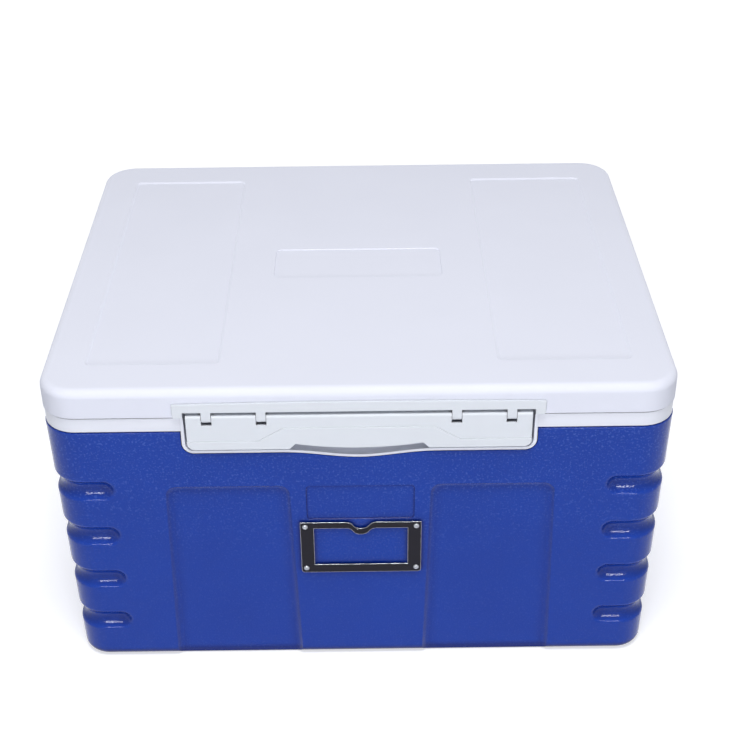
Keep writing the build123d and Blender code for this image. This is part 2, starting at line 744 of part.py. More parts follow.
# ---- card frame -----------------------------------------------------------------------------------------
def notch_run(y):
    """Edge of the frame's upper band from right to left, dipping under the fingertip."""
    mid = notch_half * 0.35
    dip = Spline((notch_half, y), (mid, y - notch_depth), (-mid, y - notch_depth), (-notch_half, y),
                 tangents=[(-1, 0), (-1, 0)])
    return dip


def make_card_frame():
    top = up_wall(frame_top)
    low = top - frame_height
    half = frame_width / 2
    upper = [Line((half, top), (notch_half, top)), notch_run(top), Line((-notch_half, top), (-half, top))]
    rest = FilletPolyline((-half, top), (-half, low), (half, low), (half, top), radius=frame_corner)
    outline = make_face([piece for part in upper for piece in part.edges()] + [*rest.edges()])
    inner_top = top - frame_top_band
    side = half - frame_side
    window_low = low + frame_bottom_band
    inner = [Line((side, inner_top), (notch_half, inner_top)), notch_run(inner_top),
             Line((-notch_half, inner_top), (-side, inner_top)),
             Polyline((-side, inner_top), (-side, window_low), (side, window_low), (side, inner_top))]
    window = make_face([piece for part in inner for piece in part.edges()])
    sheet = extrude(front_wall(-frame_stand_off) * (outline - window), amount=frame_sheet)
    tray = RectangleRounded(frame_width, frame_height, frame_corner)
    card = Rectangle(frame_width - 2 * frame_sheet, frame_height)
    middle = top - frame_height / 2
    returns = (Pos(0, middle) * tray) - (Pos(0, middle + frame_sheet) * card)
    return sheet + extrude(front_wall() * returns, amount=frame_stand_off)


# ---- handles --------------------------------------------------------------------------------------------
def pivot_line():
    """Plane at the middle of the right-hand handle's pivot line, z along Y."""
    centre = end_wall(pivot_in) * Pos(0, up_wall(handle_height) + pivot_up)
    return centre.position


def make_handle(screws):
    """Tray, bail, grip and pins of the right-hand handle."""
    middle = up_wall(handle_height)
    on_wall = end_wall()

    def outline(border, corner):
        return Pos(0, middle) * RectangleRounded(tray_width + 2 * border, tray_height + 2 * border, corner)

    outer = outline(tray_wall, tray_corner + tray_wall)
    tray = extrude(on_wall * outline(tray_flange, flange_corner), amount=tray_wall)
    tray += extrude(on_wall * outer, amount=-tray_depth - tray_wall)
    tray -= extrude(end_wall(tray_depth) * outline(0, tray_corner), amount=tray_depth + 2 * tray_wall)
    pivot = pivot_line()
    pins = []
    for side in (-1, 1):
        boss_start = side * (tray_width + tray_wall) / 2
        tray += rod((pivot.X, boss_start, pivot.Z), (0, side, 0), handle_pin_boss_length, handle_pin_boss)
        pin_start = side * (bail_half - bail_boss_length / 2)
        pins.append(rod((pivot.X, pin_start, pivot.Z), (0, side, 0), handle_pin_length, handle_pin_radius))
    tray = cut(tray, pins + screws)
    plane = end_wall(pivot_in - bail_lead)
    bar_y = middle + pivot_up - bail_drop
    path = plane * FilletPolyline((-bail_half, middle + pivot_up), (-bail_half, bar_y), (bail_half, bar_y),
                                  (bail_half, middle + pivot_up), radius=bail_corner)
    first = plane * Pos(-bail_half, middle + pivot_up)
    section = Plane(first.position, x_dir=(0, 1, 0), z_dir=-plane.y_dir)
    profile = section * RectangleRounded(bail_section_wide, bail_section_deep, bail_edge_round)
    bail = sweep(profile, path=path)
    bore = handle_pin_radius + pin_running_gap
    for side in (-1, 1):
        edge = side * bail_half - bail_boss_length / 2
        bail += rod((pivot.X, edge, pivot.Z), (0, 1, 0), bail_boss_length, pivot_boss)
        bail -= rod((pivot.X, edge - 1, pivot.Z), (0, 1, 0), bail_boss_length + 2, bore)
    bar = plane * Pos(0, bar_y)
    grip = rod((bar.position.X, -grip_length / 2, bar.position.Z), (0, 1, 0), grip_length, grip_radius)
    grip = fillet(grip.edges(), grip_end_round) - bail
    return tray, bail, grip, join_group(pins)


def join_group(pieces):
    """Separate solids that share one node."""
    return Compound(children=list(pieces))


# ---- drain ----------------------------------------------------------------------------------------------
def make_drain():
    nut_face = drain_inner_face - drain_washer
    tube_end = nut_face - drain_nut_height - 1
    tube = drain_bar(tube_end, drain_face, drain_tube_radius)
    tube += drain_bar(drain_face, drain_face + drain_flange, drain_flange_radius)
    tube -= drain_bar(tube_end - 1, drain_face + drain_flange + 1, drain_bore)
    nut_plane = Plane((nut_face - drain_nut_height, drain_y, drain_z), z_dir=(1, 0, 0))
    nut = extrude(nut_plane * RegularPolygon(drain_nut_radius, 6), amount=drain_nut_height)
    nut -= drain_bar(nut_face - drain_nut_height - 1, nut_face + 1, drain_tube_radius)
    washer = drain_bar(nut_face, drain_inner_face, drain_nut_radius)
    washer -= drain_bar(nut_face, drain_inner_face, drain_tube_radius)
    seat = drain_face + drain_flange + seat_gap
    stem = drain_bore - plug_stem_gap
    knob = drain_bar(seat, seat + plug_knob_height, plug_knob_radius)
    for index in range(plug_lobes):
        around = Rot(360 * index / plug_lobes, 0, 0) * Pos(0, plug_knob_radius + lobe_offset, 0)
        dent = Rot(0, 90, 0) * Cylinder(lobe_radius, 4 * plug_knob_height)
        knob -= Pos(seat, drain_y, drain_z) * around * dent
    plug = knob + drain_bar(seat - plug_stem_length, seat, stem)
    hollow = stem - seal_groove_depth - plug_wall
    plug -= drain_bar(seat - plug_stem_length - 1, seat - plug_end, hollow)
    ring = (seat - seal_place - seal_width / 2, seat - seal_place + seal_width / 2)
    core = drain_bar(*ring, stem - seal_groove_depth)
    groove = drain_bar(*ring, drain_bore) - core
    seal = drain_bar(*ring, drain_bore - pin_running_gap) - core
    return tube, nut, washer, plug - groove, seal


# ---- build ----------------------------------------------------------------------------------------------
os.makedirs("parts", exist_ok=True)

screws = make_screws()
tube, nut, washer, plug, seal = make_drain()
liner = make_liner(screws)
lid_shell, lid_liner, lid_foam, lid_gasket = make_lid(screws)
tray, bail, grip, pins = make_handle(screws["handle_cup_screws_right"])
hinge_pin = rod((hinge_x - hinge_width / 2, hinge_y, hinge_z), (1, 0, 0), hinge_width, hinge_pin_radius)
body_leaf = leaf(-1, screws["hinge_body_screws"])
lid_leaf = leaf(1, screws["hinge_lid_screws"])

nodes = {
    "outer_shell": make_shell(screws),
    "body_foam": make_body_foam(liner, screws),
    "inner_liner": liner,
    "latch_housing": make_housing(),
    "label_frame": cut(make_card_frame(), screws["label_frame_screws"]),
    "drain_tube": tube,
    "drain_nut": nut,
    "drain_gasket": washer,
    "drain_plug": plug,
    "drain_plug_seal": seal,
    "lid_shell": lid_shell,
    "lid_liner": lid_liner,
    "lid_foam": lid_foam,
    "lid_gasket": lid_gasket,
    "latch_strip": make_strip(screws),
    "latch_flap": make_flap(),
    "latch_hinge_pins": join_group(latch_pins(latch_pin_radius)),
    "hinge_pins": join_group(both_sides(hinge_pin)),
    "hinge_body_leaf_right": body_leaf,
    "hinge_body_leaf_left": mirror(body_leaf, Plane.YZ),
    "hinge_lid_leaf_right": lid_leaf,
    "hinge_lid_leaf_left": mirror(lid_leaf, Plane.YZ),
}
for name, piece in (("cup", tray), ("bail", bail), ("grip", grip), ("pins", pins)):
    nodes[f"handle_{name}_right"] = piece
    nodes[f"handle_{name}_left"] = mirror(piece, Plane.YZ)
for name, group in screws.items():
    nodes[name] = join_group(group)

for name, shape in nodes.items():
    save(shape, name)

print("latch line", latch_y, latch_z)
print("hinge line", hinge_y, hinge_z)
print("handle pivot", pivot_line())
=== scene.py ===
# %% [markdown]
# # A large insulated vaccine carrier
# The carrier is a chest with a blue moulded shell, a white liner, a white foam-filled lid and one long snap
# latch. The engineering model already gives every piece its true shape, place and motion. This lesson dresses
# it: each step adds one finish or one finer piece, and says what the real thing is made of.

import math

import bmesh
import bpy
from mathutils import Matrix, Vector


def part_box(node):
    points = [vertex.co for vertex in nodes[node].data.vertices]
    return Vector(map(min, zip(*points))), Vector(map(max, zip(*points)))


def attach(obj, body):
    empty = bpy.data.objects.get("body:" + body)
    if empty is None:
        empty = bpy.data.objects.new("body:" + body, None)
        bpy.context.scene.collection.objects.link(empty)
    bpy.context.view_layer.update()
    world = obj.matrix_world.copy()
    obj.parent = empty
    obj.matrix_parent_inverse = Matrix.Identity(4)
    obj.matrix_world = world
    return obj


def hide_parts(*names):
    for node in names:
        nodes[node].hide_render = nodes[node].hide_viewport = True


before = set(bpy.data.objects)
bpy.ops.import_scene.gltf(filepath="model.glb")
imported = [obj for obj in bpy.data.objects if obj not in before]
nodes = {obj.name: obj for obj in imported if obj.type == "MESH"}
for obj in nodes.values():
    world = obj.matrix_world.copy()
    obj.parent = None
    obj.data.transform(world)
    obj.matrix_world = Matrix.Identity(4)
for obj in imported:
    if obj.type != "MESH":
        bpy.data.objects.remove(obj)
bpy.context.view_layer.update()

# %% [markdown]
# ## The camera
# The carrier is seen from in front and well above, as if by a person who is about to lift the lid. A camera
# could be aimed at a target, but three plain angles keep its small turn and roll in sight. The lens and the
# place of the camera come from how the lid's edges run together.

# %% Camera
MM = 0.001
PICTURE_WIDTH = 730.0        # of the render, in pixels
FOCAL_PIXELS = 1413.4
SENSOR_MM = 36.0
CAMERA_PLACE = Vector((7.4, -1433.2, 1151.6)) * MM
CAMERA_DOWN = 32.919
CAMERA_TURN = 0.033
CAMERA_ROLL = -0.729


def add_camera():
    """A camera that looks along +Y, turned, tipped down and rolled by the angles above, in degrees."""
    down, turn, roll = (math.radians(angle) for angle in (CAMERA_DOWN, CAMERA_TURN, CAMERA_ROLL))
    spin = Matrix.Rotation(turn, 3, "Z")
    ahead = spin @ Vector((0, math.cos(down), -math.sin(down)))
    level = spin @ Vector((1, 0, 0))
    upright = level.cross(ahead)
    right = math.cos(roll) * level + math.sin(roll) * upright
    top = -math.sin(roll) * level + math.cos(roll) * upright
    data = bpy.data.cameras.new("camera")
    data.sensor_width = SENSOR_MM
    data.lens = SENSOR_MM * FOCAL_PIXELS / PICTURE_WIDTH
    camera = bpy.data.objects.new("camera", data)
    bpy.context.scene.collection.objects.link(camera)
    axes = Matrix((right, top, -ahead)).transposed()
    camera.matrix_world = Matrix.Translation(CAMERA_PLACE) @ axes.to_4x4()
    bpy.context.scene.camera = camera
    return camera


camera = add_camera()
print("lens", round(camera.data.lens, 2), "mm")

# %% [markdown]
# ## Colours and nodes
# Colours are written as the sRGB hex values that a paint program shows. Shaders work in linear light, so one
# function converts them. A second small function adds a shader node, sets it up and links it, which keeps
# each material's cell short enough to read as a recipe.

# %% Helpers for colours and nodes


def srgb(code):
    """Linear colour with alpha from a hex value such as "#2B449E", by the sRGB standard's own curve."""
    parts = [int(code[i:i + 2], 16) / 255 for i in (1, 3, 5)]
    return [c / 12.92 if c <= 0.04045 else ((c + 0.055) / 1.055) ** 2.4 for c in parts] + [1.0]


def add(tree, kind, settings=None, **inputs):
    """Adds a node. A value that is a socket is linked to the input, and any other value is set on it."""
    node = tree.nodes.new(kind)
    for name, value in (settings or {}).items():
        setattr(node, name, value)
    for name, value in inputs.items():
        socket = node.inputs[int(name[1:])] if name[1:].isdigit() else node.inputs[name.replace("_", " ")]
        if isinstance(value, bpy.types.NodeSocket):
            tree.links.new(value, socket)
        else:
            socket.default_value = value
    return node


def new_material(name):
    """An empty material with its tree, its Principled shader and the object's own coordinates."""
    material = bpy.data.materials.new(name)
    material.use_nodes = True
    tree = material.node_tree
    tree.nodes.clear()
    shader = add(tree, "ShaderNodeBsdfPrincipled")
    add(tree, "ShaderNodeOutputMaterial", Surface=shader.outputs["BSDF"])
    place = add(tree, "ShaderNodeTexCoord").outputs["Object"]
    return material, tree, shader, place


print("paint grey #808080 is", round(srgb("#808080")[0], 3), "in linear light")

# %% [markdown]
# ## Relief: moulded grain and broken edges
# No moulded or stamped face is perfectly flat, and no edge is perfectly sharp. Modelling each pit would need
# millions of faces, so the pits are a relief in the shading. The Bevel node rounds the shading of the edges
# in the same step, as a real tool's edges are broken. Every pattern's scale is worked out from a size in
# millimetres, so that it stays true to the object.

# %% Helpers for relief
EDGE_SAMPLES = 6             # rays that round the shading of the edges
FINE_PIT = 0.5               # width of the fine noise, against that of a pit
FINE_SHARE = 0.25            # relief of the fine noise, against that of the pits


def feature(size_mm):
    """Texture scale that gives features of about this size, for coordinates in metres."""
    return 1.0 / (size_mm * MM)


def relief(tree, height, depth_mm, edge_mm):
    """Relief of that depth from a height between 0 and 1, with sharp edges broken by edge_mm."""
    broken = add(tree, "ShaderNodeBevel", {"samples": EDGE_SAMPLES}, Radius=edge_mm * MM).outputs["Normal"]
    return add(tree, "ShaderNodeBump", Height=height, Distance=depth_mm * MM, Strength=1.0,
               Normal=broken).outputs["Normal"]


def moulded_grain(tree, place, pit_mm, depth_mm, edge_mm):
    """Relief of a spark-eroded tool: rounded pits of two sizes."""
    coarse = add(tree, "ShaderNodeTexVoronoi", {"feature": "SMOOTH_F1"}, Vector=place, Scale=feature(pit_mm))
    fine = add(tree, "ShaderNodeTexNoise", Vector=place, Scale=feature(pit_mm * FINE_PIT), Detail=2.0)
    mixed = add(tree, "ShaderNodeMath", {"operation": "MULTIPLY_ADD"}, _0=fine.outputs["Fac"],
                _1=FINE_SHARE, _2=coarse.outputs["Distance"])
    return relief(tree, mixed.outputs[0], depth_mm, edge_mm)


print("texture scale for a pit of 1 mm:", feature(1.0))

# %% [markdown]
# ## Painted shade in hollows and painted sparkle on tops
# The hollows of the chest are darkened with painted shade, and the tops of its grain are lightened with a
# painted highlight that stands for small glints of the lamps. Both could be painted by hand, but then they
# would have to be painted again after each change of shape. Ambient occlusion finds the hollows by itself. A
# noise as coarse as the grain picks out the tops, and they are palest high up.

# %% Helpers for painted shade and painted sparkle
AIR_SAMPLES = 8              # rays that look for open air
PIT_MM = 1.7                 # real pits are about 1 mm wide, which is too fine to show
TOP_SIZE = 1.4               # patches of painted sparkle, in widths of a pit
TOP_START, TOP_FULL = 0.54, 0.72   # noise levels between which a top goes from plain to full painted sparkle
SPARKLE_LOW, SPARKLE_HIGH = 0.14, 0.30   # the painted sparkle grows between these heights, in metres
SPARKLE_MOST, SPARKLE_LEAST = 0.34, 0.2  # painted sparkle on the highest tops, and the share of it near the floor


def painted_hollow_shade(tree, colour, shade_colour, reach_mm, closed, free):
    """That colour, turned to a painted shade colour where the surface sees little open air within reach."""
    hollow = add(tree, "ShaderNodeAmbientOcclusion", {"samples": AIR_SAMPLES}, Distance=reach_mm * MM)
    air = add(tree, "ShaderNodeMapRange", _0=hollow.outputs["AO"], _1=closed, _2=free)
    return add(tree, "ShaderNodeMix", {"data_type": "RGBA"}, _0=air.outputs[0], _6=srgb(shade_colour),
               _7=colour).outputs[2]


def painted_sparkle_tops(tree, place, colour, sparkle_colour):
    """That colour, with pale painted sparkle on the highest tops of the grain, most of it high up."""
    tops = add(tree, "ShaderNodeTexNoise", Vector=place, Scale=feature(PIT_MM * TOP_SIZE), Detail=3.0)
    height = add(tree, "ShaderNodeSeparateXYZ", Vector=place).outputs["Z"]
    most = add(tree, "ShaderNodeMapRange", _0=height, _1=SPARKLE_LOW, _2=SPARKLE_HIGH,
               _3=SPARKLE_LEAST * SPARKLE_MOST, _4=SPARKLE_MOST)
    painted_sparkle = add(tree, "ShaderNodeMapRange", _0=tops.outputs["Fac"], _1=TOP_START, _2=TOP_FULL,
               _4=most.outputs[0])
    return add(tree, "ShaderNodeMix", {"data_type": "RGBA"}, _0=painted_sparkle.outputs[0], _6=colour,
               _7=srgb(sparkle_colour)).outputs[2]


print("worn patches are about", round(PIT_MM * TOP_SIZE, 1), "mm wide")

# %% [markdown]
# ## Blue shell: moulded polyethylene with a spark-eroded grain
# The chest's shell is polyethylene, coloured in the mass and moulded in a steel tool. The tool's face is
# spark-eroded, so the plastic carries fine pits that scatter the highlights into small sparks. Voronoi cells
# give the rounded pits, and a slow noise gives the slight clouding of a large moulding.

# %% Shell material
SHELL_BLUE = "#0A3CA4"
SHELL_BLUE_DARK = "#083598"
SHELL_HOLLOW_SHADE = "#042072"     # painted shade in the moulded hollows
SHELL_SPARKLE = "#5E82D6"       # painted highlight: pale sparkle on the grain's tops
SHELL_IOR = 1.51             # of polyethylene
SHELL_GLOSS = 0.22           # a clean face has 0.5, and the pits swallow the rest
SHELL_ROUGH = (0.10, 0.18)   # where the tool was most and least polished
SHELL_EDGE_MM = 1.2
PIT_DEPTH_MM = 0.12
POLISH_SIZE = 2              # patches of more and less polish, in widths of a pit
CLOUD_MM = 90.0
HOLLOW_MM = 14.0
HOLLOW_CLOSED, HOLLOW_OPEN = 0.80, 0.985   # share of open air in a full hollow, and on a free face


def shell_plastic():
    """Glossy where the tool polished it, clouded, grained, with painted sparkle on its tops and painted shade
    in its hollows.
    """
    material, tree, shader, place = new_material("blue polyethylene, spark-eroded")
    cloud = add(tree, "ShaderNodeTexNoise", Vector=place, Scale=feature(CLOUD_MM), Detail=3.0)
    clouded = add(tree, "ShaderNodeMix", {"data_type": "RGBA"}, _0=cloud.outputs["Fac"],
                  _6=srgb(SHELL_BLUE_DARK), _7=srgb(SHELL_BLUE))
    # painted shade: the hollows of the shell are darkened
    tint = painted_hollow_shade(tree, clouded.outputs[2], SHELL_HOLLOW_SHADE, HOLLOW_MM, HOLLOW_CLOSED, HOLLOW_OPEN)
    # painted highlight: pale sparkle on the tops of the grain, strongest high up
    tint = painted_sparkle_tops(tree, place, tint, SHELL_SPARKLE)
    polish = add(tree, "ShaderNodeTexNoise", Vector=place, Scale=feature(PIT_MM * POLISH_SIZE), Detail=2.0)
    rough = add(tree, "ShaderNodeMapRange", _0=polish.outputs["Fac"], _3=SHELL_ROUGH[0], _4=SHELL_ROUGH[1])
    grain = moulded_grain(tree, place, PIT_MM, PIT_DEPTH_MM, SHELL_EDGE_MM)
    tree.links.new(tint, shader.inputs["Base Color"])
    tree.links.new(rough.outputs[0], shader.inputs["Roughness"])
    tree.links.new(grain, shader.inputs["Normal"])
    shader.inputs["IOR"].default_value = SHELL_IOR
    shader.inputs["Specular IOR Level"].default_value = SHELL_GLOSS
    return material


shell_blue = shell_plastic()
print(shell_blue.name, len(shell_blue.node_tree.nodes), "shader nodes")

# %% [markdown]
# ## White plastics: lid, liner and latch
# Lid and liner are polypropylene with a cool white pigment and a finer grain than the shell, and the lid's
# grain is dull so that it doesn't glare. The latch is moulded apart in ABS, whose white is a shade greyer,
# with a smooth satin face. One function makes all three, because they differ only in colour, roughness and
# grain. Painted shade greys the narrow seams between these pieces, and ambient occlusion finds such places.

# %% White materials
LID_WHITE = "#E4E7F5"
LINER_WHITE = "#E8EBF6"
LATCH_WHITE = "#DFE4EC"
SEAM_SHADE = "#5E5C5E"        # painted shade in the narrow seams
SEAM_MM = 5.0
SEAM_CLOSED, SEAM_OPEN = 0.15, 0.7   # share of open air in a narrow seam, and outside it
WHITE_IOR = 1.49             # of polypropylene, and ABS is near it
WHITE_EDGE_MM = 0.8
CLOUD_SHADE = 0.97           # the darker places of the slow clouding
ROUGH_SPREAD = (0.85, 1.15)  # lowest and highest roughness, of the middle one


def white_plastic(name, colour, roughness, pit_mm, depth_mm):
    """A pigmented white that is slightly clouded, with fine grain and painted shade in its seams."""
    material, tree, shader, place = new_material(name)
    slow = add(tree, "ShaderNodeTexNoise", Vector=place, Scale=feature(CLOUD_MM), Detail=2.0).outputs["Fac"]
    rough = add(tree, "ShaderNodeMapRange", _0=slow, _3=roughness * ROUGH_SPREAD[0],
                _4=roughness * ROUGH_SPREAD[1])
    shade = [CLOUD_SHADE * c for c in srgb(colour)[:3]] + [1.0]
    plain = add(tree, "ShaderNodeMix", {"data_type": "RGBA"}, _0=slow, _6=srgb(colour), _7=shade)
    # painted shade: the seams between the white pieces are darkened
    seam_shaded = painted_hollow_shade(tree, plain.outputs[2], SEAM_SHADE, SEAM_MM, SEAM_CLOSED, SEAM_OPEN)
    grain = moulded_grain(tree, place, pit_mm, depth_mm, WHITE_EDGE_MM)
    tree.links.new(seam_shaded, shader.inputs["Base Color"])
    tree.links.new(rough.outputs[0], shader.inputs["Roughness"])
    tree.links.new(grain, shader.inputs["Normal"])
    shader.inputs["IOR"].default_value = WHITE_IOR
    return material


# roughness, then the pits' width and depth in millimetres, a little coarser than the real ones
lid_white = white_plastic("white polypropylene, fine grain", LID_WHITE, 0.62, 1.2, 0.06)
liner_white = white_plastic("white polypropylene, satin", LINER_WHITE, 0.38, 0.9, 0.02)
latch_white = white_plastic("white ABS, satin", LATCH_WHITE, 0.35, 0.9, 0.01)
for finish in (lid_white, liner_white, latch_white):
    print(finish.name, len(finish.node_tree.nodes), "shader nodes")

# %% [markdown]
# ## Stainless steel: brushed fittings and a polished card frame
# Hinges, screws and pins are brushed stainless steel, whose fine lines draw the highlights out. A noise that
# is stretched along X gives the lines. The card frame is polished until it mirrors whatever is dark round it.
# In a white studio a true mirror would turn white, so its colour is a painted dark reflection instead. All
# edges take a lighter colour as a painted highlight: where the Bevel node turns the normal away from the true
# one, there is an edge.

# %% Steel materials
STEEL = "#A9ACB2"
# painted highlight on the edges of the brushed fittings
STEEL_EDGE_HIGHLIGHT = "#C9CCD2"
# painted dark reflection: the colour of the polished card frame
FRAME_DARK_REFLECTION = "#2C2B30"
# painted highlight on the card frame's edges
FRAME_EDGE_HIGHLIGHT = "#D5D8E2"
BRUSH_MM = 0.25              # real brush lines are finer, and would not show
BRUSH_DEPTH_MM = 0.004
STEEL_EDGE_MM = 0.4
BRIGHT_EDGE_MM = 0.7
BRIGHT_SAMPLES = 8           # rays that look for an edge
FACE_COSINE, EDGE_COSINE = 0.99, 0.90   # between the two normals, on a face and on an edge
BRUSH_SPREAD = (0.8, 1.3)    # lowest and highest roughness, of the middle one


def edge_highlight_mask(tree, edge_mm):
    """1 on the edges of a piece, within about that distance, and 0 on its faces."""
    broken = add(tree, "ShaderNodeBevel", {"samples": BRIGHT_SAMPLES}, Radius=edge_mm * MM).outputs["Normal"]
    true = add(tree, "ShaderNodeNewGeometry").outputs["True Normal"]
    same = add(tree, "ShaderNodeVectorMath", {"operation": "DOT_PRODUCT"}, _0=broken, _1=true)
    return add(tree, "ShaderNodeMapRange", _0=same.outputs["Value"], _1=FACE_COSINE,
               _2=EDGE_COSINE).outputs[0]


def stainless(name, colour, edge_highlight, roughness, stretch):
    """Steel with fine brush lines that run along X, and a painted highlight on its edges."""
    material, tree, shader, place = new_material(name)
    along = add(tree, "ShaderNodeMapping", Vector=place, Scale=(1 / stretch, 1.0, 1.0))
    lines = add(tree, "ShaderNodeTexNoise", Vector=along.outputs[0], Scale=feature(BRUSH_MM),
                Detail=2.0).outputs["Fac"]
    rough = add(tree, "ShaderNodeMapRange", _0=lines, _3=roughness * BRUSH_SPREAD[0],
                _4=roughness * BRUSH_SPREAD[1])
    # painted highlight: a lighter colour on the edges
    tint = add(tree, "ShaderNodeMix", {"data_type": "RGBA"}, _0=edge_highlight_mask(tree, BRIGHT_EDGE_MM),
               _6=srgb(colour), _7=srgb(edge_highlight))
    tree.links.new(tint.outputs[2], shader.inputs["Base Color"])
    tree.links.new(rough.outputs[0], shader.inputs["Roughness"])
    tree.links.new(relief(tree, lines, BRUSH_DEPTH_MM, STEEL_EDGE_MM), shader.inputs["Normal"])
    shader.inputs["Metallic"].default_value = 1.0
    return material


# roughness, then how many times longer than wide the lines are
steel = stainless("brushed stainless steel", STEEL, STEEL_EDGE_HIGHLIGHT, 0.3, 12)
# the card frame's dark colour is a painted reflection of the dark room in front of it
frame_steel = stainless("dark polished steel", FRAME_DARK_REFLECTION, FRAME_EDGE_HIGHLIGHT, 0.16, 3)
for finish in (steel, frame_steel):
    print(finish.name, len(finish.node_tree.nodes), "shader nodes")

# %% [markdown]
# ## Rubber and foam
# The seals are grey silicone rubber and the grips black rubber, both moulded with a dull, finely pored face
# that dust settles on. The filling is yellowish polyurethane foam, which is blown in place and never shows.
# All three are dull and pored, so one function makes them from a colour, a roughness and a size of pore.

# %% Rubber and foam materials
DUST_MM = 25
DUST_KEEPS, DUST_ADDS = 0.6, 0.06   # share of the colour that dust leaves, and the grey that it adds
RUBBER_EDGE_MM = 0.5


def rubber(name, colour, roughness, pit_mm, depth_mm):
    """Rubber or foam: an even colour that a slow noise lightens where it is dusty, and fine pores."""
    material, tree, shader, place = new_material(name)
    dust = add(tree, "ShaderNodeTexNoise", Vector=place, Scale=feature(DUST_MM), Detail=4.0)
    pale = [DUST_KEEPS * c + DUST_ADDS for c in srgb(colour)[:3]] + [1.0]
    tint = add(tree, "ShaderNodeMix", {"data_type": "RGBA"}, _0=dust.outputs["Fac"], _6=srgb(colour), _7=pale)
    pores = moulded_grain(tree, place, pit_mm, depth_mm, RUBBER_EDGE_MM)
    tree.links.new(tint.outputs[2], shader.inputs["Base Color"])
    tree.links.new(pores, shader.inputs["Normal"])
    shader.inputs["Roughness"].default_value = roughness
    return material


# roughness, then the pores' width and depth in millimetres
seal_grey = rubber("grey silicone rubber", "#8E9298", 0.6, 0.6, 0.02)
grip_black = rubber("black rubber", "#1B1B1D", 0.65, 0.6, 0.03)
foam_yellow = rubber("polyurethane foam", "#E6DCB4", 0.9, 1.0, 0.2)
for finish in (seal_grey, grip_black, foam_yellow):
    print(finish.name, len(finish.node_tree.nodes), "shader nodes")

# %% [markdown]
# ## Dressing the engineering pieces
# Most pieces keep the engineering mesh, which already has its fillets, and only take their finish. A table of
# finishes by piece keeps that in one place, and every piece that it leaves out is a steel fitting.

# %% Finishes by piece
FINISHES = {
    "outer_shell": shell_blue,
    "inner_liner": liner_white,
    "latch_housing": liner_white,
    "lid_shell": lid_white,
    "lid_liner": liner_white,
    "latch_strip": latch_white,
    "latch_flap": latch_white,
    "label_frame": frame_steel,
    "body_foam": foam_yellow,
    "lid_foam": foam_yellow,
    "lid_gasket": seal_grey,
    "drain_gasket": seal_grey,
    "drain_plug_seal": seal_grey,
    "drain_tube": liner_white,
    "drain_nut": liner_white,
    "drain_plug": liner_white,
}
for side in ("left", "right"):
    FINISHES[f"handle_cup_{side}"] = lid_white
    FINISHES[f"handle_bail_{side}"] = lid_white
    FINISHES[f"handle_grip_{side}"] = grip_black
for name, node in nodes.items():
    for slot in node.material_slots:
        slot.material = FINISHES.get(name, steel)
print(len(FINISHES), "pieces by the table, and", len(nodes) - len(FINISHES), "steel fittings")

# %% [markdown]
# ## Forms from rings
# Screws and grips are round about one axis, with an outline that no mesh primitive has. A Screw modifier
# could turn such an outline too, but rings of vertices that code places and joins by faces also make the
# grip, whose bore isn't round.

# %% Rings, turned forms and meshes


def join_rings(bm, rings):
    """Faces between each ring of vertices and the next."""
    for low, high in zip(rings, rings[1:]):
        for i, (a, d) in enumerate(zip(low, high)):
            b, c = low[(i + 1) % len(low)], high[(i + 1) % len(high)]
            bm.faces.new(dict.fromkeys((a, b, c, d)))
    bmesh.ops.recalc_face_normals(bm, faces=bm.faces)


def turned(outline, steps):
    """A closed bmesh turned about Z from (radius, height) pairs. A radius of 0 closes an end."""
    bm = bmesh.new()
    angles = [2 * math.pi * i / steps for i in range(steps)]
    rings = []
    for radius, height in outline:
        if radius == 0:
            rings.append([bm.verts.new((0, 0, height))] * steps)
        else:
            rings.append([bm.verts.new((radius * math.cos(a), radius * math.sin(a), height)) for a in angles])
    join_rings(bm, rings)
    return bm


def to_mesh(bm, name):
    """A mesh of that name from a bmesh, which is then freed."""
    mesh = bpy.data.meshes.new(name)
    bm.to_mesh(mesh)
    bm.free()
    return mesh


prism = turned(((0, 0), (1, 0), (1, 1), (0, 1)), 6)
print("a prism turned in six steps has", len(prism.faces), "faces")
prism.free()

# %% [markdown]
# ## Outline of a screw
# Every screw is a stainless pan head with a thread and a point, and all three come from one turned outline.
# A true thread is a helix, but its slope can't be seen at this size, so it is drawn as rings.

# %% Outline of a screw
THREAD_PITCH = 0.9 * MM
THREAD_ROOT = 0.78           # of the shank's radius
THREAD_RISE, THREAD_CREST, THREAD_FALL = 0.3, 0.5, 0.7   # of the pitch
POINT = 0.25                 # of the shank's length
HEAD_FOOT = 0.96             # of the head's radius, where it sits
HEAD_FLAT, HEAD_WALL = 0.4, 0.2   # flat top, of the head's radius, and straight wall, of its height
HEAD_STEPS = 10


def screw_outline(head, height, shank, length):
    """Pan head above z = 0, and a threaded shank with a point below it."""
    root = shank * THREAD_ROOT
    start = -length * (1 - POINT)
    outline = [(0, -length), (root, start)]
    for i in range(int(-start / THREAD_PITCH)):
        low = start + i * THREAD_PITCH
        outline += [(root, low + THREAD_RISE * THREAD_PITCH), (shank, low + THREAD_CREST * THREAD_PITCH),
                    (root, low + THREAD_FALL * THREAD_PITCH)]
    outline += [(root, 0), (head * HEAD_FOOT, 0)]
    for i in range(HEAD_STEPS):
        angle = math.radians(90 * i / (HEAD_STEPS - 1))
        outline.append((head * (HEAD_FLAT + (1 - HEAD_FLAT) * math.cos(angle)),
                        height * (HEAD_WALL + (1 - HEAD_WALL) * math.sin(angle))))
    return outline + [(0, height)]


print("a screw's outline has", len(screw_outline(3 * MM, 2 * MM, 1.5 * MM, 12 * MM)), "points")

